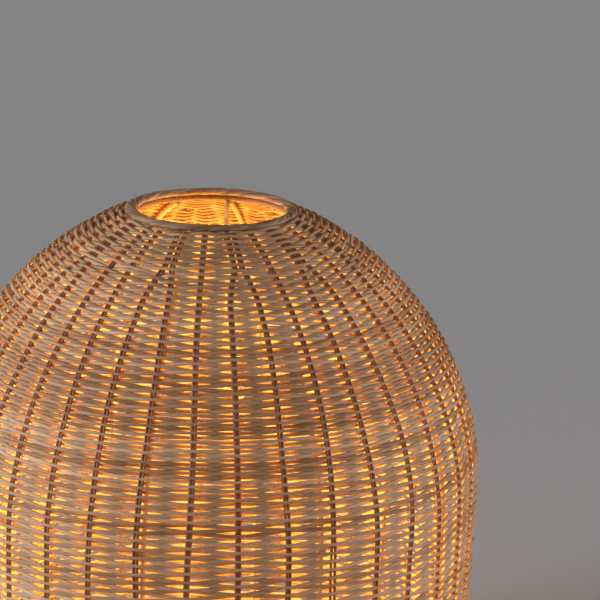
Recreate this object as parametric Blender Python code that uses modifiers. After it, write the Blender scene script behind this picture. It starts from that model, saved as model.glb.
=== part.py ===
"""Cloche lamp shade, woven from rattan over pairs of stakes on a light wire and cane frame.

Metres, +Z up. The origin is on the axis, at the underside of the lower border. The front is -Y.
Heights and radii of the woven wall come from one outer line, and every piece that lies against
the wall is set a named depth inside that line.
"""

import math

import bpy
from mathutils import Vector

# Overall size
SHADE_RADIUS = 0.230          # outside of the weave at its widest level
SHADE_HEIGHT = 0.470          # underside of the lower border to the top of the mouth border
WIDEST_DEPTH = 0.219          # from the weave's upper edge down to its widest level
CROWN_POWER = 1.85            # 2 makes the dome an ellipse, and less makes it more conical
SKIRT_DRAW_IN = 0.008         # how much the weave has closed in again at its lower edge

# Woven wall
WEAVER_THICKNESS = 0.0026     # one strand
STAKE_THICKNESS = 0.0022
STAKE_PAIR_WIDTH = 0.0060     # two canes side by side
STAKE_COUNT = 37
FIRST_STAKE_ANGLE = -83.7     # degrees from +X

# Borders
MOUTH_RADIUS = 0.0615         # clear radius of the upper opening
MOUTH_BORDER_WIDTH = 0.0095
MOUTH_BORDER_HEIGHT = 0.0060
MOUTH_BORDER_PROUD = 0.0015   # how far the border stands above the weave's upper edge
WEAVE_SEAT = 0.0014           # from the mouth border's side to the weave's upper edge
LOWER_BORDER_WIDTH = 0.0120
LOWER_BORDER_HEIGHT = 0.0090
LOWER_BORDER_PROUD = 0.0010   # how far the border stands outside the weave
BORDER_CHAMFER = 0.0015

# Frame inside the weave
RING_WIRE = 0.0050            # diameter of the mouth ring and the lower ring
HOOP_WIRE = 0.0040
SHOULDER_HOOP_SHARE = 0.45    # place along the dome line, from 0 at the mouth to 1 at the widest level
RIB_DIAMETER = 0.0045
RIB_COUNT = 10
FIRST_RIB_ANGLE = 77.5        # degrees from +X

# Spider that carries the shade on a lampholder
FITTER_HOLE_RADIUS = 0.0205
FITTER_RIM_WIDTH = 0.0065
FITTER_THICKNESS = 0.0020
FITTER_DEPTH = 0.160          # from the top of the mouth border to the fitter's upper face
ARM_WIRE = 0.0040
ARM_COUNT = 3
ARM_BEND_RADIUS = 0.010
ARM_DROP = 0.016              # straight drop from the mouth ring before the arm leans in
ARM_FOOT = 0.012              # straight foot outside the fitter, in line with its upper face

# Fit and fineness
GAP = 0.0003                  # between pieces that touch
STAKE_TUCK = 0.004            # how far below the weave's upper edge the stakes and ribs begin
DOME_STEPS = 10
SKIRT_STEPS = 4
ROUND_STEPS = 48
BEND_STEPS = 4

# Worked out from the sizes above
MOUTH_BORDER_RADIUS = MOUTH_RADIUS + MOUTH_BORDER_WIDTH
WEAVE_TOP = SHADE_HEIGHT - MOUTH_BORDER_PROUD
WEAVE_TOP_RADIUS = MOUTH_BORDER_RADIUS + WEAVE_SEAT
WEAVE_BOTTOM = LOWER_BORDER_HEIGHT + GAP
WIDEST_LEVEL = WEAVE_TOP - WIDEST_DEPTH
CROWN_RISE = WIDEST_DEPTH / (1 - (WEAVE_TOP_RADIUS / SHADE_RADIUS) ** CROWN_POWER) ** (1 / CROWN_POWER)
FACET_SAG = SHADE_RADIUS * (1 - math.cos(math.pi / ROUND_STEPS))
STAKE_DEPTH = WEAVER_THICKNESS + GAP + FACET_SAG
WEAVE_DEPTH = 2 * WEAVER_THICKNESS + STAKE_THICKNESS + GAP
RIB_DEPTH = WEAVE_DEPTH + FACET_SAG + RIB_DIAMETER / 2
HOOP_DEPTH = RIB_DEPTH + RIB_DIAMETER / 2 + GAP + FACET_SAG + HOOP_WIRE / 2
MOUTH_RING_RADIUS = MOUTH_RADIUS + MOUTH_BORDER_WIDTH / 2
MOUTH_RING_LEVEL = SHADE_HEIGHT - MOUTH_BORDER_HEIGHT - GAP - RING_WIRE / 2
LOWER_RING_LEVEL = LOWER_BORDER_HEIGHT + GAP + RING_WIRE / 2
FITTER_RADIUS = FITTER_HOLE_RADIUS + FITTER_RIM_WIDTH
FITTER_TOP = SHADE_HEIGHT - FITTER_DEPTH

# Colour, roughness and metallic value of each finish
FINISHES = {
    "weaver_cane": ((0.60, 0.43, 0.28, 1), 0.60, 0.0),
    "stake_cane": ((0.42, 0.26, 0.16, 1), 0.65, 0.0),
    "border_cane": ((0.45, 0.33, 0.24, 1), 0.60, 0.0),
    "rib_cane": ((0.78, 0.62, 0.42, 1), 0.55, 0.0),
    "frame_wire": ((0.70, 0.62, 0.52, 1), 0.45, 0.4),
    "fitter_plate": ((0.72, 0.68, 0.60, 1), 0.40, 0.5),
}


def clear_scene():
    for obj in list(bpy.data.objects):
        bpy.data.objects.remove(obj, do_unlink=True)


def finish_of(name):
    """The Principled BSDF material of that finish, made once."""
    material = bpy.data.materials.get(name)
    if material is None:
        colour, roughness, metallic = FINISHES[name]
        material = bpy.data.materials.new(name)
        material.use_nodes = True
        shader = material.node_tree.nodes["Principled BSDF"]
        shader.inputs["Base Color"].default_value = colour
        shader.inputs["Roughness"].default_value = roughness
        shader.inputs["Metallic"].default_value = metallic
        material.diffuse_color = colour
    return material


def add_piece(name, data, finish, parts):
    piece = bpy.data.objects.new(name, data)
    data.materials.append(finish_of(finish))
    parts.objects.link(piece)
    return piece


def weave_line():
    """Outer line of the weave as (radius, height) points, from the mouth down to the lower edge."""
    points = []
    start = math.acos((WIDEST_DEPTH / CROWN_RISE) ** (CROWN_POWER / 2))
    for step in range(DOME_STEPS):
        angle = start + (math.pi / 2 - start) * step / DOME_STEPS
        radius = SHADE_RADIUS * math.sin(angle) ** (2 / CROWN_POWER)
        height = WIDEST_LEVEL + CROWN_RISE * math.cos(angle) ** (2 / CROWN_POWER)
        points.append(Vector((radius, height)))
    for step in range(SKIRT_STEPS + 1):
        share = step / SKIRT_STEPS
        radius = SHADE_RADIUS - SKIRT_DRAW_IN * share ** 2
        height = WIDEST_LEVEL + (WEAVE_BOTTOM - WIDEST_LEVEL) * share
        points.append(Vector((radius, height)))
    return points


def inset(points, depth):
    """The line moved inwards by depth, with mitred corners, so that it stays parallel to itself."""
    moved = []
    last = len(points) - 1
    for i, point in enumerate(points):
        before = (points[max(i, 1)] - points[max(i, 1) - 1]).normalized()
        after = (points[min(i, last - 1) + 1] - points[min(i, last - 1)]).normalized()
        along = (before + after).normalized()
        inward = Vector((along.y, -along.x))
        moved.append(point + inward * depth / before.dot(along))
    return moved


def shortened(points, start, end):
    """The line with its first and last stretches made shorter by those lengths."""
    first = points[0] + (points[1] - points[0]).normalized() * start
    final = points[-1] + (points[-2] - points[-1]).normalized() * end
    return [first] + points[1:-1] + [final]


def rounded(corners, radius, steps):
    """A path through straight runs, with each inner corner turned by an arc of that radius."""
    path = [corners[0]]
    for before, corner, after in zip(corners, corners[1:], corners[2:]):
        back = (before - corner).normalized()
        ahead = (after - corner).normalized()
        half = back.angle(ahead) / 2
        reach = radius / math.tan(half)
        centre = corner + (back + ahead).normalized() * radius / math.sin(half)
        first = corner + back * reach - centre
        turn = first.angle_signed(corner + ahead * reach - centre)
        for step in range(steps + 1):
            angle = -turn * step / steps
            arm = Vector((first.x * math.cos(angle) - first.y * math.sin(angle),
                          first.x * math.sin(angle) + first.y * math.cos(angle)))
            path.append(centre + arm)
    path.append(corners[-1])
    return path


def turned(name, outline, finish, parts):
    """A closed (radius, height) outline, down its outer side and up its inner side, turned about Z."""
    mesh = bpy.data.meshes.new(name)
    vertices = [(point[0], 0, point[1]) for point in outline]
    edges = [(i, (i + 1) % len(vertices)) for i in range(len(vertices))]
    mesh.from_pydata(vertices, edges, [])
    piece = add_piece(name, mesh, finish, parts)
    screw = piece.modifiers.new("turn", "SCREW")
    screw.steps = screw.render_steps = ROUND_STEPS
    screw.use_merge_vertices = True
    screw.merge_threshold = 0.00001
    screw.use_smooth_shade = True
    return piece


def border_outline(inner, outer, bottom, top, chamfer):
    return [
        (outer - chamfer, top), (outer, top - chamfer),
        (outer, bottom + chamfer), (outer - chamfer, bottom),
        (inner + chamfer, bottom), (inner, bottom + chamfer),
        (inner, top - chamfer), (inner + chamfer, top),
    ]


def wire_ring(name, radius, level, diameter, finish, parts):
    bpy.ops.mesh.primitive_torus_add(
        major_segments=ROUND_STEPS, minor_segments=6,
        major_radius=radius, minor_radius=diameter / 2, location=(0, 0, level))
    ring = bpy.context.object
    ring.name = ring.data.name = name
    ring.data.materials.append(finish_of(finish))
    ring.data.shade_smooth()
    for collection in list(ring.users_collection):
        collection.objects.unlink(ring)
    parts.objects.link(ring)
    return ring


def wire_along(name, path, angle, diameter, finish, parts):
    """A round wire along a (radius, height) path, in the upright plane at that angle from +X."""
    curve = bpy.data.curves.new(name, "CURVE")
    curve.dimensions = "3D"
    curve.bevel_depth = diameter / 2
    curve.bevel_resolution = 2
    curve.use_fill_caps = True
    spline = curve.splines.new("POLY")
    spline.points.add(len(path) - 1)
    for point, place in zip(spline.points, path):
        point.co = (place.x, 0, place.y, 1)
    spline.use_smooth = True
    piece = add_piece(name, curve, finish, parts)
    piece.rotation_euler = (0, 0, math.radians(angle))
    return piece


def strip_along(name, outline, angle, width, finish, parts):
    """A flat strip: a (radius, height) outline of its side, made width thick, at that angle from +X."""
    curve = bpy.data.curves.new(name, "CURVE")
    curve.dimensions = "2D"
    curve.fill_mode = "BOTH"
    curve.extrude = width / 2
    spline = curve.splines.new("POLY")
    spline.points.add(len(outline) - 1)
    for point, place in zip(spline.points, outline):
        point.co = (place.x, place.y, 0, 1)
    spline.use_cyclic_u = True
    piece = add_piece(name, curve, finish, parts)
    piece.rotation_euler = (math.pi / 2, 0, math.radians(angle))
    return piece


def make_woven_wall(line, parts):
    outline = line + inset(line, WEAVER_THICKNESS)[::-1]
    turned("woven_wall", outline, "weaver_cane", parts)


def make_stakes(line, parts):
    outer = shortened(inset(line, STAKE_DEPTH), STAKE_TUCK, 0)
    inner = shortened(inset(line, STAKE_DEPTH + STAKE_THICKNESS), STAKE_TUCK, 0)
    for number in range(STAKE_COUNT):
        angle = FIRST_STAKE_ANGLE + 360 * number / STAKE_COUNT
        strip_along(f"stake_pair_{number + 1:02d}", outer + inner[::-1], angle,
                    STAKE_PAIR_WIDTH, "stake_cane", parts)


def make_borders(line, parts):
    mouth = border_outline(MOUTH_RADIUS, MOUTH_BORDER_RADIUS,
                           SHADE_HEIGHT - MOUTH_BORDER_HEIGHT, SHADE_HEIGHT, BORDER_CHAMFER)
    turned("mouth_border", mouth, "border_cane", parts)
    outer = line[-1].x + LOWER_BORDER_PROUD
    lower = border_outline(outer - LOWER_BORDER_WIDTH, outer, 0, LOWER_BORDER_HEIGHT, BORDER_CHAMFER)
    turned("lower_border", lower, "border_cane", parts)


def make_frame(line, parts):
    """The cane ribs, the hoops inside them, and the wire rings that they end at."""
    rib_line = inset(line, RIB_DEPTH)
    rib_foot = LOWER_RING_LEVEL + RING_WIRE / 2 + GAP - rib_line[-1].y
    rib_path = shortened(rib_line, STAKE_TUCK, rib_foot)
    for number in range(RIB_COUNT):
        angle = FIRST_RIB_ANGLE + 360 * number / RIB_COUNT
        wire_along(f"rib_{number + 1:02d}", rib_path, angle, RIB_DIAMETER, "rib_cane", parts)
    wire_ring("mouth_ring", MOUTH_RING_RADIUS, MOUTH_RING_LEVEL, RING_WIRE, "frame_wire", parts)
    wire_ring("lower_ring", rib_line[-1].x, LOWER_RING_LEVEL, RING_WIRE, "frame_wire", parts)
    hoop_line = inset(line, HOOP_DEPTH)
    shoulder = hoop_line[round(SHOULDER_HOOP_SHARE * DOME_STEPS)]
    waist = hoop_line[DOME_STEPS]
    wire_ring("shoulder_hoop", shoulder.x, shoulder.y, HOOP_WIRE, "frame_wire", parts)
    wire_ring("waist_hoop", waist.x, waist.y, HOOP_WIRE, "frame_wire", parts)


def make_spider(parts):
    """The fitter plate that a lampholder clamps, and the wire arms that hang from the mouth ring."""
    plate = [(FITTER_RADIUS, FITTER_TOP), (FITTER_RADIUS, FITTER_TOP - FITTER_THICKNESS),
             (FITTER_HOLE_RADIUS, FITTER_TOP - FITTER_THICKNESS), (FITTER_HOLE_RADIUS, FITTER_TOP)]
    turned("fitter_plate", plate, "fitter_plate", parts)
    hang_radius = MOUTH_RING_RADIUS - RING_WIRE / 2 - GAP - ARM_WIRE / 2
    foot_level = FITTER_TOP + GAP + ARM_WIRE / 2
    corners = [
        Vector((hang_radius, MOUTH_RING_LEVEL)),
        Vector((hang_radius, MOUTH_RING_LEVEL - ARM_DROP)),
        Vector((FITTER_RADIUS + ARM_FOOT, foot_level)),
        Vector((FITTER_HOLE_RADIUS + FITTER_RIM_WIDTH / 2, foot_level)),
    ]
    path = rounded(corners, ARM_BEND_RADIUS, BEND_STEPS)
    for number in range(ARM_COUNT):
        angle = FIRST_RIB_ANGLE + 360 * number / ARM_COUNT
        wire_along(f"spider_arm_{number + 1}", path, angle, ARM_WIRE, "frame_wire", parts)


def main():
    clear_scene()
    parts = bpy.data.collections.new("lamp_shade")
    bpy.context.scene.collection.children.link(parts)
    line = weave_line()
    make_woven_wall(line, parts)
    make_stakes(line, parts)
    make_borders(line, parts)
    make_frame(line, parts)
    make_spider(parts)


main()
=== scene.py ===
import math

import bmesh
import bpy
import numpy as np
from mathutils import Matrix, Vector


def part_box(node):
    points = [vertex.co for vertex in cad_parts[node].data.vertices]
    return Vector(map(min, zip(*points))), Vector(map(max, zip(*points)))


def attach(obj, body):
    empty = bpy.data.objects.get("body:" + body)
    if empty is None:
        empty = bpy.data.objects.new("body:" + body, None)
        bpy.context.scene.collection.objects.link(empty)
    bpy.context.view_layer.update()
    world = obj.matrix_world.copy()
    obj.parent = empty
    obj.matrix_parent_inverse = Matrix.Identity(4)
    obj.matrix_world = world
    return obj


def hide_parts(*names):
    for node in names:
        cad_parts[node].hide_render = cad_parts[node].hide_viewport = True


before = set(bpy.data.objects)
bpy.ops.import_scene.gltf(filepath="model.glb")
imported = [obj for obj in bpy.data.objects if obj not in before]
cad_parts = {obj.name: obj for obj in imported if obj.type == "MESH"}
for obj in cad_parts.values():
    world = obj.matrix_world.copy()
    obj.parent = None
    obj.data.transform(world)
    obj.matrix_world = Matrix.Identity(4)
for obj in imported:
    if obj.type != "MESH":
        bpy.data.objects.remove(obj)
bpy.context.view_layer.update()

noise = np.random.default_rng(7)
twoPi = 2 * math.pi
print("frame loaded:", len(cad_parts), "nodes")


def deselectAll():
    bpy.ops.object.select_all(action="DESELECT")


def finishPiece(piece, node=None, material=None):
    # every piece rides on the one body and takes its place from its own mesh
    if material:
        piece.data.materials.clear()
        piece.data.materials.append(material)
    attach(piece, "root")
    if node:
        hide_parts(node)
    return piece


def smoothStep(low, high, value):
    t = np.clip((value - low) / (high - low), 0, 1)
    return t * t * (3 - 2 * t)


def wave(count, low, high, amplitude):
    # a smooth random line: a few sines of random length and phase, as a function of distance
    lengths = noise.uniform(low, high, count)
    phases = noise.uniform(0, twoPi, count)
    share = amplitude / count ** 0.5
    return lambda x: share * sum(np.sin(twoPi * x / length + phase) for length, phase in zip(lengths, phases))


def unit(vectors):
    return vectors / np.linalg.norm(vectors, axis=1)[:, None]


def tubeRings(points, outward, halfThick, halfWide, sides, closed):
    # elliptical sections along a line, the thickness towards outward and the width across it
    if closed:
        ahead = unit(np.roll(points, -1, 0) - np.roll(points, 1, 0))
    else:
        ahead = unit(np.gradient(points, axis=0))
    outward = unit(outward - ahead * (outward * ahead).sum(1)[:, None])
    across = np.cross(ahead, outward)
    corner = np.arange(sides) * twoPi / sides
    thick = (np.cos(corner) * halfThick[:, None])[..., None]
    wide = (np.sin(corner) * halfWide[:, None])[..., None]
    return (points[:, None] + outward[:, None] * thick + across[:, None] * wide).reshape(-1, 3)


def tubeFaces(points, girth, sides, closed):
    # quads between neighbouring sections, with u along the tube and v round it, both in metres
    count = len(points)
    step = np.linalg.norm(np.diff(points, axis=0), axis=1)
    length = np.append(0, np.cumsum(step))
    length = np.append(length, length[-1] + np.linalg.norm(points[0] - points[-1]))
    spans = count if closed else count - 1
    i, j = np.repeat(np.arange(spans), sides), np.tile(np.arange(sides), spans)
    nextI, nextJ = (i + 1) % count, (j + 1) % sides
    here, there = i * sides, nextI * sides
    quads = np.stack([here + j, there + j, there + nextJ, here + nextJ], 1)[:, ::-1]
    u = np.stack([length[i], length[i + 1], length[i + 1], length[i]], 1)[:, ::-1]
    v = np.stack([j, j, j + 1, j + 1], 1)[:, ::-1] * girth / sides
    return quads, np.stack([u.ravel(), v.ravel()], 1)


def strandMesh(name, strands, sides, closed=False):
    # one object of many tubes, each (points, outward, halfThick, halfWide, tone)
    coords, loops, corners, uvs, tones = [], [], [], [], []
    base = 0
    for points, outward, halfThick, halfWide, tone in strands:
        count = len(points)
        thick = np.broadcast_to(np.asarray(halfThick, float), (count,))
        wide = np.broadcast_to(np.asarray(halfWide, float), (count,))
        tone = np.broadcast_to(np.asarray(tone, float), (count,))
        coords.append(tubeRings(points, outward, thick, wide, sides, closed))
        tones.append(np.repeat(tone, sides))
        quads, places = tubeFaces(points, math.pi * (thick.mean() + wide.mean()), sides, closed)
        loops.append(quads.ravel() + base)
        corners.append(np.full(len(quads), 4))
        uvs.append(places)
        if not closed:      # a flat cap on each end
            first = base + np.arange(sides)
            loops += [first, (first + (count - 1) * sides)[::-1]]
            corners.append(np.array([sides, sides]))
            uvs.append(np.zeros((2 * sides, 2)))
        base += count * sides
    coords, loops, corners = np.concatenate(coords), np.concatenate(loops), np.concatenate(corners)
    mesh = bpy.data.meshes.new(name)
    mesh.vertices.add(len(coords))
    mesh.vertices.foreach_set("co", coords.astype(np.float32).ravel())
    mesh.loops.add(len(loops))
    mesh.loops.foreach_set("vertex_index", loops.astype(np.int32))
    mesh.polygons.add(len(corners))
    mesh.polygons.foreach_set("loop_start", (np.cumsum(corners) - corners).astype(np.int32))
    mesh.update(calc_edges=True)
    mesh.uv_layers.new(name="UVMap").data.foreach_set("uv", np.concatenate(uvs).astype(np.float32).ravel())
    toneLayer = mesh.attributes.new("tone", "FLOAT", "POINT")
    toneLayer.data.foreach_set("value", np.concatenate(tones).astype(np.float32))
    mesh.shade_smooth()
    piece = bpy.data.objects.new(name, mesh)
    bpy.context.scene.collection.objects.link(piece)
    return piece


class MaterialNodes:
    # short calls for the node set-ups that the materials share
    def __init__(self, name):
        self.material = bpy.data.materials.new(name)
        self.material.use_nodes = True
        self.nodes, self.links = self.material.node_tree.nodes, self.material.node_tree.links
        self.shader = self.nodes["Principled BSDF"]

    def feed(self, value, socket):
        if isinstance(value, bpy.types.NodeSocket):
            self.links.new(value, socket)
        else:
            socket.default_value = value

    def objectPlace(self):
        return self.nodes.new("ShaderNodeTexCoord").outputs["Object"]

    def scaled(self, vector, scale):
        mapping = self.nodes.new("ShaderNodeMapping")
        mapping.inputs["Scale"].default_value = scale
        self.links.new(vector, mapping.inputs["Vector"])
        return mapping.outputs["Vector"]

    def noiseOn(self, vector, scale, detail, roughness=0.5):
        texture = self.nodes.new("ShaderNodeTexNoise")
        texture.inputs["Scale"].default_value = scale
        texture.inputs["Detail"].default_value = detail
        texture.inputs["Roughness"].default_value = roughness
        self.links.new(vector, texture.inputs["Vector"])
        return texture.outputs["Fac"]

    def combine(self, operation, a, b):
        node = self.nodes.new("ShaderNodeMath")
        node.operation = operation
        self.feed(a, node.inputs[0])
        self.feed(b, node.inputs[1])
        return node.outputs[0]

    def spread(self, value, fromRange=(0, 1), toRange=(0, 1)):
        node = self.nodes.new("ShaderNodeMapRange")
        for label, number in zip(("From Min", "From Max", "To Min", "To Max"), (*fromRange, *toRange)):
            node.inputs[label].default_value = number
        self.links.new(value, node.inputs["Value"])
        return node.outputs["Result"]

    def ramp(self, value, stops):
        node = self.nodes.new("ShaderNodeValToRGB")
        elements = node.color_ramp.elements
        for element, (position, colour) in zip(elements, (stops[0], stops[-1])):
            element.position, element.color = position, (*colour, 1)
        for position, colour in stops[1:-1]:
            elements.new(position).color = (*colour, 1)
        self.links.new(value, node.inputs["Fac"])
        return node.outputs["Color"]

    def darkened(self, colour, mask, shade):
        node = self.nodes.new("ShaderNodeMix")
        node.data_type, node.blend_type = "RGBA", "MULTIPLY"
        node.inputs[7].default_value = (*shade, 1)
        self.links.new(mask, node.inputs[0])
        self.links.new(colour, node.inputs[6])
        return node.outputs[2]

    def finish(self, colour, roughness, height, bump, bumpDepth):
        node = self.nodes.new("ShaderNodeBump")
        node.inputs["Strength"].default_value = bump
        node.inputs["Distance"].default_value = bumpDepth
        self.links.new(height, node.inputs["Height"])
        self.links.new(node.outputs["Normal"], self.shader.inputs["Normal"])
        self.links.new(colour, self.shader.inputs["Base Color"])
        self.links.new(roughness, self.shader.inputs["Roughness"])
        return self.material


grain = {
    "fibreScale": (55, 2600, 1), "fibreShare": 0.34,
    "streakScale": (9, 420, 1), "streakShare": 0.22,
    "patchScale": 9, "patchShare": 0.18,
    "toneShare": 0.34,                  # of the strand's own tone
    "fleckScale": (70, 500, 1), "fleckFrom": 0.68, "fleckTo": 0.77, "fleckShade": (0.42, 0.30, 0.22),
    "texture": 0.6,
    "roughness": 0.46, "bump": 0.35, "bumpDepth": 0.0004,
    "glow": 0.32, "glowRadius": (1.0, 0.50, 0.18), "glowDepth": 0.0016,   # light that soaks through the cane
}


def caneMaterial(name, straw, honey, bark, spec):
    # peeled rattan: long fibres along each strand, a tone of its own for each strand, dark flecks
    mat = MaterialNodes(name)
    uv = mat.nodes.new("ShaderNodeUVMap")
    uv.uv_map = "UVMap"
    along = uv.outputs["UV"]
    tone = mat.nodes.new("ShaderNodeAttribute")
    tone.attribute_name = "tone"
    fibre = mat.noiseOn(mat.scaled(along, spec["fibreScale"]), 1, 3, spec["texture"])
    streak = mat.noiseOn(mat.scaled(along, spec["streakScale"]), 1, 2, spec["texture"])
    fleck = mat.noiseOn(mat.scaled(along, spec["fleckScale"]), 1, 4, spec["texture"])
    patch = mat.noiseOn(mat.objectPlace(), spec["patchScale"], 3)

    mixed = mat.combine("MULTIPLY", tone.outputs["Fac"], spec["toneShare"])
    for texture, share in ((fibre, "fibreShare"), (patch, "patchShare"), (streak, "streakShare")):
        mixed = mat.combine("ADD", mixed, mat.combine("MULTIPLY", texture, spec[share]))
    colour = mat.ramp(mixed, [(0.22, bark), (0.5, honey), (0.78, straw)])
    # dark flecks and dried skin, only where a coarse noise peaks
    flecked = mat.spread(fleck, (spec["fleckFrom"], spec["fleckTo"]))
    colour = mat.darkened(colour, flecked, spec["fleckShade"])
    roughness = mat.spread(fibre, toRange=(spec["roughness"] - 0.10, spec["roughness"] + 0.14))
    mat.shader.inputs["Specular IOR Level"].default_value = 0.5
    mat.shader.inputs["Subsurface Weight"].default_value = spec["glow"]
    mat.shader.inputs["Subsurface Radius"].default_value = spec["glowRadius"]
    mat.shader.inputs["Subsurface Scale"].default_value = spec["glowDepth"]
    return mat.finish(colour, roughness, fibre, spec["bump"], spec["bumpDepth"])


weaverCane = caneMaterial("weaverCane", (0.89, 0.67, 0.43), (0.71, 0.445, 0.24), (0.33, 0.15, 0.06), grain)
# the stakes' cane is the weavers' cane painted darker and redder: painted shade from the strands lying over
# the stakes, and painted orange bounce light from inside
stakeCanePaintedShade = caneMaterial("stakeCanePaintedShade", (0.54, 0.25, 0.14), (0.38, 0.165, 0.09), (0.19, 0.08, 0.046), grain)
borderCane = caneMaterial("borderCane", (0.60, 0.37, 0.205), (0.41, 0.225, 0.115), (0.17, 0.08, 0.038),
                          dict(grain, glow=0.04, toneShare=0.5))
ribCane = caneMaterial("ribCane", (0.80, 0.66, 0.47), (0.68, 0.51, 0.33), (0.42, 0.28, 0.16), grain)

paint = {
    "dustScale": 420, "wearScale": 34, "wornTo": 0.30, "soundFrom": 0.46,
    "bump": 0.25, "bumpDepth": 0.0002,
}


def paintMaterial(name, colour, worn, roughness):
    # brushed-on satin paint: slight runs, a little dust, rubbed spots
    mat = MaterialNodes(name)
    place = mat.objectPlace()
    dust = mat.noiseOn(place, paint["dustScale"], 4)
    wear = mat.noiseOn(place, paint["wearScale"], 5)
    return mat.finish(mat.ramp(wear, [(paint["wornTo"], worn), (paint["soundFrom"], colour)]),
                        mat.spread(wear, toRange=(roughness - 0.12, roughness + 0.12)),
                        dust, paint["bump"], paint["bumpDepth"])


framePaint = paintMaterial("framePaint", (0.66, 0.58, 0.47), (0.46, 0.38, 0.29), 0.42)
platePaint = paintMaterial("platePaint", (0.68, 0.62, 0.53), (0.50, 0.43, 0.35), 0.38)
print("materials made")


# the wall's line, from the mouth down
wall = {
    "crownPower": 1.85,        # 2 is an ellipse
    "widestDepth": 0.219,      # from the weave's upper edge to its widest level
    "skirtDrawIn": 0.008,
    "edgeOutside": 0.0014,     # the weave's upper edge, outside the mouth border
}
wallLow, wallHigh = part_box("woven_wall")
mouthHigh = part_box("mouth_border")[1]
wallRadius = wallHigh.x
widestLevel = wallHigh.z - wall["widestDepth"]
edgeRadius = mouthHigh.x + wall["edgeOutside"]
edgeShare = (edgeRadius / wallRadius) ** wall["crownPower"]
crownRise = wall["widestDepth"] / (1 - edgeShare) ** (1 / wall["crownPower"])


def wallLine(count=1500):
    start = math.acos((wall["widestDepth"] / crownRise) ** (wall["crownPower"] / 2))
    angle = np.linspace(start, math.pi / 2, count)
    radius = wallRadius * np.sin(angle) ** (2 / wall["crownPower"])
    level = widestLevel + crownRise * np.clip(np.cos(angle), 0, 1) ** (2 / wall["crownPower"])
    share = np.linspace(0, 1, count)[1:]
    radius = np.append(radius, wallRadius - wall["skirtDrawIn"] * share ** 2)
    level = np.append(level, widestLevel + (wallLow.z - widestLevel) * share)
    return radius, level


lineRadius, lineLevel = wallLine()
lineLength = np.append(0, np.cumsum(np.hypot(np.diff(lineRadius), np.diff(lineLevel))))
wallLength = lineLength[-1]
lineSlope = np.unwrap(np.arctan2(np.gradient(lineLevel), np.gradient(lineRadius)))


def onWall(distance, depth, angle):
    # the point that far down the wall from the mouth, sunk by depth, and the outward direction there
    radius = np.interp(distance, lineLength, lineRadius)
    level = np.interp(distance, lineLength, lineLevel)
    slope = np.interp(distance, lineLength, lineSlope)
    outR, outZ = -np.sin(slope), np.cos(slope)
    radius, level = radius - outR * depth, level - outZ * depth
    points = np.stack([radius * np.cos(angle), radius * np.sin(angle), level], -1)
    outward = np.stack([outR * np.cos(angle), outR * np.sin(angle), outZ + 0 * radius], -1)
    return points, outward


# the stakes: thin canes in pairs, some pairs sharing a stem in the crown
stakes = {
    "caneRadius": 0.00128,
    "pairSpacing": 0.0025,      # between the two canes' centres
    "parting": 0.0013,          # how far a pair stands open for part of its length
    "partingEase": 0.03,
    "parted": {2: (0.27, 0.35), 7: (0.10, 0.22), 13: (0.30, 0.40),
               19: (0.16, 0.25), 24: (0.36, 0.45), 30: (0.20, 0.30)},     # pair: from, to
    "depth": 0.0041,            # of the canes' centres under the weave's outside
    "stemFirsts": list(range(0, 31, 3)) + [34],     # pairs that share a stem with the next one
    "stemSpacing": 0.0062,      # between two pairs that share a stem
    "archStart": 0.046,         # distance from the mouth at which a stem opens
    "archLength": 0.040,
    "archPower": 0.75,
    "start": 0.001,
    "step": 0.004,
    "wander": 0.0011,
    "ripple": 0.00012,
    "caneSizes": (0.94, 1.06),
    "sides": 8,
}
stakeNodes = sorted(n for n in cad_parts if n.startswith("stake_pair_"))
stakeCount = len(stakeNodes)


def nodeAngle(node):
    low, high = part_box(node)
    middle = (low + high) / 2
    return math.atan2(middle.y, middle.x)


stakeAngles = np.unwrap([nodeAngle(n) for n in stakeNodes])
stakeStep = twoPi / stakeCount
stemPartner = {}
for first in stakes["stemFirsts"]:
    stemPartner[first] = first + 1
    stemPartner[first + 1] = first
stemCount = stakeCount - len(stemPartner) // 2
stakeWander = [wave(3, 0.16, 0.5, stakes["wander"]) for _ in range(stakeCount)]


def stakeAngle(k, distance):
    # angle of stake k at that distance from the mouth, which grows by a full turn every stakeCount
    turns, k = divmod(k, stakeCount)
    radius = np.interp(distance, lineLength, lineRadius)
    angle = stakeAngles[k] + turns * twoPi + stakeWander[k](distance) / radius
    if k in stemPartner:
        towards = 1 if stemPartner[k] > k else -1
        opened = np.clip((distance - stakes["archStart"]) / stakes["archLength"], 0, 1)
        opened = np.sin(opened * math.pi / 2) ** stakes["archPower"]
        full = stakeStep / 2
        closed = stakes["stemSpacing"] / 2 / radius
        middle = (stakeAngles[k] + stakeAngles[stemPartner[k]]) / 2 + turns * twoPi
        shared = stakeWander[min(k, stemPartner[k])](distance) / radius
        own = stakeWander[k](distance) / radius
        angle = middle + shared * (1 - opened) + own * opened - towards * (closed + (full - closed) * opened)
    return angle


def makeStakes():
    distance = np.arange(stakes["start"], wallLength, stakes["step"])
    radius = np.interp(distance, lineLength, lineRadius)
    ease = stakes["partingEase"]
    for k, node in enumerate(stakeNodes):
        strands = []
        start, end = stakes["parted"].get(k, (1, 1 + ease))
        apart = smoothStep(start, start + ease, distance) * smoothStep(end, end - ease, distance)
        offset = (stakes["pairSpacing"] + stakes["parting"] * apart) / 2
        for side in (-1, 1):
            ripple = wave(3, 0.02, 0.08, stakes["ripple"])(distance)
            angle = stakeAngle(k, distance) + (side * offset + ripple) / radius
            points, outward = onWall(distance, stakes["depth"], angle)
            thick = stakes["caneRadius"] * noise.uniform(*stakes["caneSizes"])
            strands.append((points, outward, thick, thick, noise.uniform(0.2, 0.8)))
        piece = strandMesh(node.replace("stake_pair_", "stakePair"), strands, stakes["sides"])
        finishPiece(piece, node, stakeCanePaintedShade)


makeStakes()
print("stakes made:", stakeCount, "pairs,", stemCount, "stems in the crown")


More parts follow.
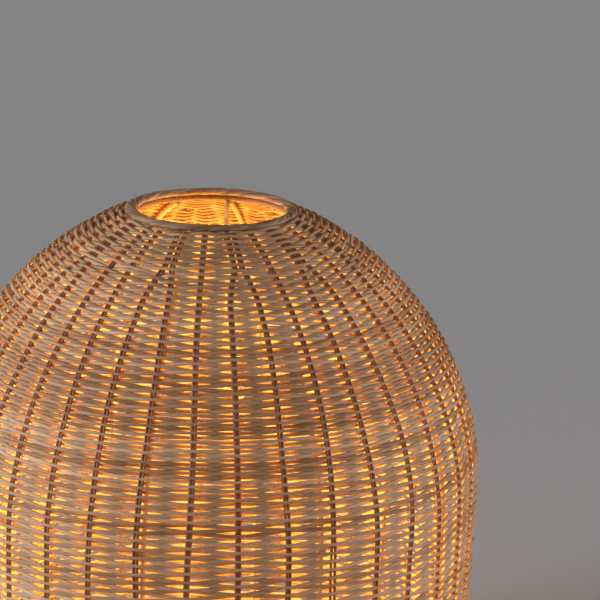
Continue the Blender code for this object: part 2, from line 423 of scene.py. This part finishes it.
# the weave: canes laid one after another along one long spiral, over and under the stakes
weave = {
    "rowPitch": 0.00337,
    "halfThick": 0.0014,
    "halfWide": 0.00151,
    "narrowing": 0.20,          # at a stake; midway between two it is as much wider
    "caneSizes": (0.92, 1.05),
    "swing": 0.00275,           # how far a cane's centre moves in and out past the stakes
    "bend": 0.95,               # 1 is straight from stake to stake, 0 a sine
    "looseness": 0.10,
    "depth": 0.0041,            # of its middle under the weave's outside
    "pointsPerStake": 6,
    "sides": 8,
    "start": 0.0006,
    "settleStart": (-0.006, 0.003),   # the first row has less swing
    "crownEnd": 0.052,          # where the stems have opened and every stake is woven on its own
    "crownEase": (0.05, 0.10),  # the crown above this is woven tighter:
    "crownSwing": 0.72,
    "crownDepth": -0.0004,
    "crownWide": 1.04,
    "crownWideEase": (0.04, 0.11),
    "stakeSpan": 0.039,         # length of cane for each stake passed
    "slack": 0.00020,           # how far the rows wander up and down
    "lift": 0.00010,            # and in and out
    "sway": 0.00012,
    "caneLength": (50, 130),    # in stakes passed
    "shortest": 40,
    "lap": 0.5,                 # of one cane past the next one's start, in stakes
    "tuck": 0.0016,             # how far a cane's end is pushed in behind its stake
    "tuckFrom": 0.01,
    "bands": 6,                 # objects that the canes are shared among, from the mouth down
}


def stemOrder():
    # the crown's stems, each as the list of its stakes
    order, k = [], 0
    while k < stakeCount:
        if stemPartner.get(k) == k + 1:
            order.append([k, k + 1])
            k += 2
        else:
            order.append([k])
            k += 1
    return order


def wovenStretch(groups, startDistance, turns):
    # the helix past each group of stakes in turn: index in stakes passed, distance down the wall, angle
    count = len(groups)
    index = np.arange(turns * count * weave["pointsPerStake"]) / weave["pointsPerStake"]
    distance = startDistance + weave["rowPitch"] * index / count
    whole = np.floor(index).astype(int)
    angles = np.empty(len(index))
    for offset in range(count):
        rows = whole % count == offset
        here = np.mean([stakeAngle(k, distance[rows]) for k in groups[offset]], axis=0)
        there = np.mean([stakeAngle(k, distance[rows]) for k in groups[(offset + 1) % count]], axis=0)
        there = there + (twoPi if offset + 1 == count else 0)
        angles[rows] = here + (there - here) * (index[rows] - whole[rows]) + whole[rows] // count * twoPi
    return index, distance, angles


def weavePath():
    # over the stems of the crown, then, without a break, over every stake down to the foot
    pitch = weave["rowPitch"]
    crownTurns = round(weave["crownEnd"] / pitch)
    crown = wovenStretch(stemOrder(), weave["start"], crownTurns)
    bodyStart = weave["start"] + crownTurns * pitch
    bodyTurns = int((wallLength - weave["halfWide"] - bodyStart) / pitch)
    body = wovenStretch([[k] for k in range(stakeCount)], bodyStart, bodyTurns)
    index = np.append(crown[0], body[0] + crownTurns * stemCount)
    return index, np.append(crown[1], body[1]), np.append(crown[2], body[2])


def caneSwing(index, distance):
    # in and out past the stakes: nearly straight between them, bent round each, looser here and there
    swing = weave["swing"] * np.arcsin(weave["bend"] * np.cos(math.pi * index)) / math.asin(weave["bend"])
    loose = 1 + np.clip(noise.normal(0, weave["looseness"], int(index[-1] - index[0]) + 3), -0.2, 0.35)
    swing = swing * np.interp(index, index[0] - 1 + np.arange(len(loose)), loose)
    below = smoothStep(*weave["crownEase"], distance)
    return swing * smoothStep(*weave["settleStart"], distance) * (weave["crownSwing"] * (1 - below) + below)


def wovenCane(index, distance, angle, slack, lift, lap):
    along = index * weave["stakeSpan"]
    swing = caneSwing(index, distance)
    toEnd = np.minimum(np.arange(len(index)), np.arange(len(index))[::-1])
    tucked = weave["tuck"] * (1 - np.minimum(toEnd / (2 * lap), 1)) * (distance > weave["tuckFrom"])
    tighter = weave["crownDepth"] * (1 - smoothStep(*weave["crownEase"], distance))
    depth = weave["depth"] + tighter - swing + lift(along) + tucked
    sway = weave["sway"] * np.sin(math.pi * index + 1)
    points, outward = onWall(distance + slack(along) + sway, depth, angle)
    grown = noise.uniform(*weave["caneSizes"]) * (1 + wave(3, 0.15, 0.6, 0.02)(along))
    grown *= np.minimum(1, 0.6 + 0.1 * toEnd)
    tone = noise.uniform(0.05, 0.95) + wave(2, 0.3, 1.2, 0.12)(along)
    # it narrows where it bends round a stake
    below = smoothStep(*weave["crownWideEase"], distance)
    drawn = weave["narrowing"] * np.cos(2 * math.pi * index) * (0.5 + 0.5 * below)
    wide = weave["halfWide"] * (weave["crownWide"] * (1 - below) + below - drawn)
    thick = weave["halfThick"] * (1 - drawn / 2)
    return points, outward, thick * grown, wide * grown, tone


def makeWeave():
    index, distance, angles = weavePath()
    slack = wave(4, 0.7, 3.0, weave["slack"])
    lift = wave(5, 0.09, 0.5, weave["lift"])
    perStake = weave["pointsPerStake"]
    lap = int(weave["lap"] * perStake)
    bands = [[] for _ in range(weave["bands"])]
    begin, last = 0, len(index) - 1
    while begin < last:
        # a cane starts and ends behind a stake, beside the one before it
        passed = int(noise.uniform(*weave["caneLength"]) / 2) * 2 + (1 if begin == 0 else 0)
        stop = begin + passed * perStake
        if last - stop < weave["shortest"] * perStake:
            stop = last
        part = slice(max(begin - lap, 0), min(stop + lap, last) + 1)
        band = min(int(distance[part][0] / wallLength * len(bands)), len(bands) - 1)
        bands[band].append(wovenCane(index[part], distance[part], angles[part], slack, lift, lap))
        begin = stop
    for number, canes in enumerate(bands, 1):
        piece = strandMesh(f"weaveBand{number}", canes, weave["sides"])
        finishPiece(piece, "woven_wall", weaverCane)
    return sum(len(canes) for canes in bands)


print("canes woven:", makeWeave())


borders = {
    "mouth_border": {
        "name": "mouthBorder", "canes": stemCount * 2, "spacings": 7, "width": 0.0095, "boxiness": 2.2,
        "halfThick": 0.0011, "halfWide": 0.00155, "startTurn": -58, "endTurn": 228, "lean": -12,
        "tuckOut": 0.0008, "tuckUp": -0.0036, "tuckRadius": 0.0021,
    },
    "lower_border": {
        "name": "lowerBorder", "canes": stakeCount, "spacings": 5, "width": 0.012, "boxiness": 3,
        "halfThick": 0.0011, "halfWide": 0.0026, "startTurn": 50, "endTurn": -240, "lean": 12,
        "tuckOut": 0.0004, "tuckUp": 0.0052, "tuckRadius": 0.0019,
    },
}


def superRound(turn, boxiness):
    # 2 is an ellipse, more is a box with round corners
    return (np.abs(np.cos(turn)) ** boxiness + np.abs(np.sin(turn)) ** boxiness) ** (-1 / boxiness)


def closedRing(radius, level, thick, wide, tone, count=150):
    angle = np.linspace(0, twoPi, count, endpoint=False)
    points = np.stack([radius * np.cos(angle), radius * np.sin(angle), level + 0 * angle], -1)
    return points, np.tile([0.0, 0.0, 1.0], (count, 1)), thick, wide, tone


def makeBorder(node):
    # each cane comes up out of the weave, lies round the edge for a few spacings and goes down inside
    spec = borders[node]
    low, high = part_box(node)
    middleRadius, middleLevel = high.x - spec["width"] / 2, (low.z + high.z) / 2
    reachR, reachZ = spec["width"] / 2 - spec["halfThick"], (high.z - low.z) / 2 - spec["halfThick"]
    share = np.linspace(0, 1, 40)
    turn = np.radians(spec["startTurn"] + (spec["endTurn"] - spec["startTurn"]) * share)
    tilt = turn + math.radians(spec["lean"])
    squash = superRound(turn, spec["boxiness"])
    radius = middleRadius + reachR * np.cos(turn) * squash
    level = middleLevel + reachZ * np.sin(turn) * squash
    sunk = 0.0008 * smoothStep(0.8, 1, share) + 0.0006 * smoothStep(0.2, 0, share)
    strands = []
    for k in range(spec["canes"]):
        angle = (k + share * spec["spacings"]) * twoPi / spec["canes"] + noise.normal(0, 0.025)
        outward = np.stack([np.cos(tilt) * np.cos(angle), np.cos(tilt) * np.sin(angle), np.sin(tilt)], -1)
        points = np.stack([radius * np.cos(angle), radius * np.sin(angle), level], -1)
        points += outward * (wave(2, 0.3, 0.9, 0.0003)(share) - sunk)[:, None]
        thick = spec["halfThick"] * np.minimum(1, 0.5 + np.minimum(share, 1 - share) * 12)
        wide = spec["halfWide"] * noise.uniform(0.90, 1.08)
        strands.append((points, outward, thick, wide, noise.uniform(0.1, 0.9)))
    canes = strandMesh(spec["name"], strands, 8)
    # the ring that the canes lie round, and the pressed row that closes the weave against them
    tuck = closedRing(middleRadius + reachR + spec["tuckOut"], middleLevel + spec["tuckUp"],
                      spec["tuckRadius"], spec["tuckRadius"], 0.6)
    core = closedRing(middleRadius, middleLevel, reachZ * 0.78, reachR * 0.86, 0.3)
    inner = strandMesh(spec["name"] + "Core", [core, tuck], 12, closed=True)
    for piece in (canes, inner):
        finishPiece(piece, node, borderCane)


for node in borders:
    makeBorder(node)
print("borders made")


rings = {
    "mouth_ring": {"wire": 0.0013, "sink": -0.0004, "rise": 0.0002},
    "lower_ring": {"wire": 0.0025, "sink": 0, "rise": 0},
    "shoulder_hoop": {"wire": 0.0020, "sink": 0, "rise": 0},
    "waist_hoop": {"wire": 0.0020, "sink": 0, "rise": 0},
}


def ringLine(node):
    # radius and level of a ring's centre line
    low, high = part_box(node)
    section = (high.z - low.z) / 2
    return high.x - section + rings[node]["sink"], (low.z + high.z) / 2 + rings[node]["rise"]


def turnedRing(node, name, material):
    radius, level = ringLine(node)
    deselectAll()
    bpy.ops.mesh.primitive_torus_add(major_segments=180, minor_segments=14, major_radius=radius,
                                     minor_radius=rings[node]["wire"], location=(0, 0, level))
    ring = bpy.context.object
    ring.name = name
    bpy.ops.object.transform_apply(location=True, rotation=True, scale=True)
    ring.data.shade_smooth()
    return finishPiece(ring, node, material)


for node in rings:
    first, second = node.split("_")
    turnedRing(node, first + second.title(), framePaint)

ringWrap = {"turns": 96, "pointsPerTurn": 12, "halfThick": 0.0004, "halfWide": 0.0021}


def makeRingWrap():
    # a flat cane wound round the mouth ring, turn beside turn, binding it to the border
    radius, level = ringLine("mouth_ring")
    along = np.linspace(0, twoPi, ringWrap["turns"] * ringWrap["pointsPerTurn"], endpoint=False)
    turn = along * ringWrap["turns"]
    reach = rings["mouth_ring"]["wire"] + ringWrap["halfThick"]
    ring = radius + reach * np.cos(turn)
    points = np.stack([ring * np.cos(along), ring * np.sin(along), level + reach * np.sin(turn)], -1)
    outward = np.stack([np.cos(turn) * np.cos(along), np.cos(turn) * np.sin(along), np.sin(turn)], -1)
    cane = (points, outward, ringWrap["halfThick"], ringWrap["halfWide"], 0.5)
    piece = strandMesh("mouthRingWrap", [cane], 8, closed=True)
    finishPiece(piece, "mouth_ring", borderCane)


makeRingWrap()

ribs = {
    "depth": 0.01044, "radius": 0.0021825, "start": 0.004, "end": 0.009,
    "jointSpacing": 0.11, "swell": 0.16, "swellReach": 0.0035,      # of the cane's joints
}
ribNodes = sorted(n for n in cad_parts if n.startswith("rib_"))


def makeRibs():
    for node in ribNodes:
        distance = np.linspace(ribs["start"], wallLength - ribs["end"], 110)
        angle = nodeAngle(node) + wave(3, 0.15, 0.5, 0.0006)(distance) / 0.2
        points, outward = onWall(distance, ribs["depth"], angle)
        joints = np.arange(noise.uniform(0.03, 0.1), wallLength, ribs["jointSpacing"])
        swell = sum(np.exp(-((distance - joint) / ribs["swellReach"]) ** 2) for joint in joints)
        girth = ribs["radius"] * (1 + wave(3, 0.1, 0.3, 0.02)(distance) + ribs["swell"] * swell)
        rod = (points, outward, girth, girth, noise.uniform(0.3, 0.9))
        piece = strandMesh(node.replace("rib_", "rib"), [rod], 12)
        finishPiece(piece, node, ribCane)


makeRibs()

lashing = {"strand": 0.0004, "halfWide": 0.0011, "reachAcross": 0.0040, "reachDeep": 0.0052, "turns": 2}


def lashingLoops():
    # flat cane tied crosswise round a rib and a hoop
    turn = np.linspace(0, twoPi, 26, endpoint=False)
    squash = superRound(turn, 3)
    deep = np.array([1, 0, 0])
    loops = []
    for slant in (1, -1):
        diagonal = np.array([0, 1, slant]) / 2 ** 0.5
        beside = np.array([0, -slant, 1]) / 2 ** 0.5
        grow = 1.10 if slant < 0 else 1         # the second tie lies over the first
        for number in range(lashing["turns"]):
            shift = (number - (lashing["turns"] - 1) / 2) * lashing["halfWide"] * 2.05
            across = np.outer(np.cos(turn) * squash * lashing["reachAcross"] * grow, diagonal)
            through = np.outer(np.sin(turn) * squash * lashing["reachDeep"] * grow, deep)
            outward = np.outer(np.cos(turn), diagonal) + np.outer(np.sin(turn), deep)
            loops.append((across + through + beside * shift, outward,
                          lashing["strand"], lashing["halfWide"], noise.uniform(0.3, 0.8)))
    return loops


def lashingPlaces():
    # every crossing of a rib with a hoop
    places = []
    for hoop in ("shoulder_hoop", "waist_hoop", "lower_ring"):
        low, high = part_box(hoop)
        level = (low.z + high.z) / 2
        wallR = np.interp(-level, -lineLevel, lineRadius)
        slope = np.interp(-level, -lineLevel, lineSlope)
        centre = (high.x - (high.z - low.z) / 2 + wallR - ribs["depth"] / abs(math.sin(slope))) / 2
        tilted = Matrix.Translation((centre, 0, level)) @ Matrix.Rotation(-slope - math.pi / 2, 4, "Y")
        for node in ribNodes:
            places.append(Matrix.Rotation(nodeAngle(node), 4, "Z") @ tilted)
    return places


def makeLashings():
    # modelled once, copied to every crossing
    places = lashingPlaces()
    ties = [strandMesh("lashing01", lashingLoops(), 6, closed=True)]
    for number in range(2, len(places) + 1):
        tie = ties[0].copy()
        tie.data = ties[0].data.copy()
        tie.name = f"lashing{number:02d}"
        bpy.context.scene.collection.objects.link(tie)
        ties.append(tie)
    for tie, place in zip(ties, places):
        tie.data.transform(place)
        finishPiece(tie, None, ribCane)
    return len(ties)


print("lashings tied:", makeLashings())

spider = {
    "holeRadius": 0.0205, "plateBevel": 0.0005,
    "wireRadius": 0.0020, "gap": 0.0003,
    "bend": 0.010,
    "drop": 0.016,          # of the upright part below the mouth ring
    "foot": 0.012,          # of the bend outside the plate's edge
    "onPlate": 0.00325,     # from the hole's edge to a foot's end
}


def makePlate():
    low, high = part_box("fitter_plate")
    deselectAll()
    bpy.ops.mesh.primitive_cylinder_add(vertices=96, radius=high.x, depth=high.z - low.z,
                                        location=(0, 0, (low.z + high.z) / 2))
    plate = bpy.context.object
    plate.name = "fitterPlate"
    bpy.ops.object.mode_set(mode="EDIT")
    bpy.ops.mesh.select_mode(type="FACE")
    bpy.ops.mesh.select_all(action="DESELECT")
    mesh = bmesh.from_edit_mesh(plate.data)
    for face in mesh.faces:
        face.select = abs(face.normal.z) > 0.9
    bmesh.update_edit_mesh(plate.data)
    bpy.ops.mesh.inset(thickness=high.x - spider["holeRadius"])
    bpy.ops.mesh.bridge_edge_loops()
    bpy.ops.object.mode_set(mode="OBJECT")
    bevel = plate.modifiers.new("softEdge", "BEVEL")
    bevel.width = spider["plateBevel"]
    bevel.segments = 3
    bevel.limit_method = "ANGLE"
    bpy.ops.object.modifier_apply(modifier=bevel.name)
    bpy.ops.object.transform_apply(location=True, rotation=True, scale=True)
    bpy.ops.object.shade_smooth_by_angle(angle=math.radians(40))
    return finishPiece(plate, "fitter_plate", platePaint)


def roundedPath(corners, bend, steps):
    path = [corners[0]]
    for before, corner, after in zip(corners, corners[1:], corners[2:]):
        back, ahead = (before - corner).normalized(), (after - corner).normalized()
        reach = min(bend / math.tan(back.angle(ahead) / 2), (before - corner).length * 0.7)
        start, end = corner + back * reach, corner + ahead * reach
        for step in range(steps + 1):
            t = step / steps
            path.append(start * (1 - t) ** 2 + corner * 2 * t * (1 - t) + end * t * t)
    path.append(corners[-1])
    return path


def makeArms():
    ringLow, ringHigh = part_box("mouth_ring")
    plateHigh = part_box("fitter_plate")[1]
    ringRadius, ringLevel = ringLine("mouth_ring")
    wire, gap = spider["wireRadius"], spider["gap"]
    hang = ringHigh.x - (ringHigh.z - ringLow.z) - gap - wire
    foot = plateHigh.z + gap + wire
    hook = ringLevel - rings["mouth_ring"]["wire"] - wire
    outline = [(ringRadius, hook), (hang, hook), (hang, ringLevel - spider["drop"]),
               (plateHigh.x + spider["foot"], foot), (spider["holeRadius"] + spider["onPlate"], foot)]
    path = np.array(roundedPath([Vector((x, 0, z)) for x, z in outline], spider["bend"], 8))
    for number in range(1, 4):
        node = f"spider_arm_{number}"
        angle = nodeAngle(node)
        turned = np.stack([path[:, 0] * math.cos(angle), path[:, 0] * math.sin(angle), path[:, 2]], -1)
        sideways = np.tile([-math.sin(angle), math.cos(angle), 0.0], (len(path), 1))
        ends = np.minimum(1, 0.6 + 0.4 * np.minimum(np.arange(len(path)), np.arange(len(path))[::-1]))
        piece = strandMesh(f"spiderArm{number}", [(turned, sideways, wire * ends, wire * ends, 0.5)], 14)
        finishPiece(piece, node, framePaint)


makePlate()
makeArms()
print("frame made")


cameraSpec = {"lens": 129.66, "distance": 1.7321, "above": 0.4096, "pitch": 15.74, "yaw": 2.48, "roll": 1.58}


def makeCamera():
    data = bpy.data.cameras.new("camera")
    data.lens, data.sensor_width = cameraSpec["lens"], 36
    camera = bpy.data.objects.new("camera", data)
    turn = (Matrix.Rotation(math.radians(-cameraSpec["yaw"]), 4, "Z")
            @ Matrix.Rotation(math.radians(90 - cameraSpec["pitch"]), 4, "X")
            @ Matrix.Rotation(math.radians(cameraSpec["roll"]), 4, "Z"))
    place = Matrix.Translation((0, -cameraSpec["distance"], mouthHigh.z + cameraSpec["above"]))
    camera.matrix_world = place @ turn
    bpy.context.scene.collection.objects.link(camera)
    bpy.context.scene.camera = camera


def softLight(name, place, strength, angle, colour):
    # a large softbox far off: even light over the object and the whole floor
    data = bpy.data.lights.new(name, "SUN")
    data.energy, data.angle, data.color = strength, math.radians(angle), colour
    light = bpy.data.objects.new(name, data)
    light.rotation_euler = (-Vector(place)).to_track_quat("-Z", "Y").to_euler()
    bpy.context.scene.collection.objects.link(light)


bulbGlow = {"power": 4.15, "colour": (1.0, 0.65, 0.14), "radius": 0.06, "belowMouth": 0.262}


def bulbLight():
    data = bpy.data.lights.new("bulb", "POINT")
    data.energy, data.color, data.shadow_soft_size = bulbGlow["power"], bulbGlow["colour"], bulbGlow["radius"]
    bulb = bpy.data.objects.new("bulb", data)
    bulb.location = (0, 0, mouthHigh.z - bulbGlow["belowMouth"])
    bpy.context.scene.collection.objects.link(bulb)


studio = {
    "floorSize": 60, "floorColour": (0.715, 0.71, 0.70, 1), "floorRoughness": 0.9,
    "skyColour": (1.0, 0.84, 0.66, 1), "skyStrength": 0.065,
}


def makeFloor():
    deselectAll()
    bpy.ops.mesh.primitive_plane_add(size=studio["floorSize"], location=(0, 0, 0))
    floor = bpy.context.object
    floor.name = "floor"
    material = bpy.data.materials.new("floorPaper")
    material.use_nodes = True
    shader = material.node_tree.nodes["Principled BSDF"]
    shader.inputs["Base Color"].default_value = studio["floorColour"]
    shader.inputs["Roughness"].default_value = studio["floorRoughness"]
    floor.data.materials.append(material)


makeCamera()
softLight("leftSoftbox", (-1.0, -0.10, 0.18), 2.6, 44, (0.96, 0.99, 1.09))
softLight("rightSoftbox", (1.0, -0.02, 0.18), 1.55, 44, (0.96, 0.99, 1.09))
softLight("frontFill", (0.05, -1.0, 0.12), 0.17, 60, (1.0, 0.62, 0.28))
bulbLight()
makeFloor()
world = bpy.data.worlds.new("studio")
world.use_nodes = True
sky = world.node_tree.nodes["Background"]
sky.inputs["Color"].default_value = studio["skyColour"]
sky.inputs["Strength"].default_value = studio["skyStrength"]
bpy.context.scene.world = world
bpy.context.scene.view_settings.view_transform = "Standard"
print("camera, light and floor set")
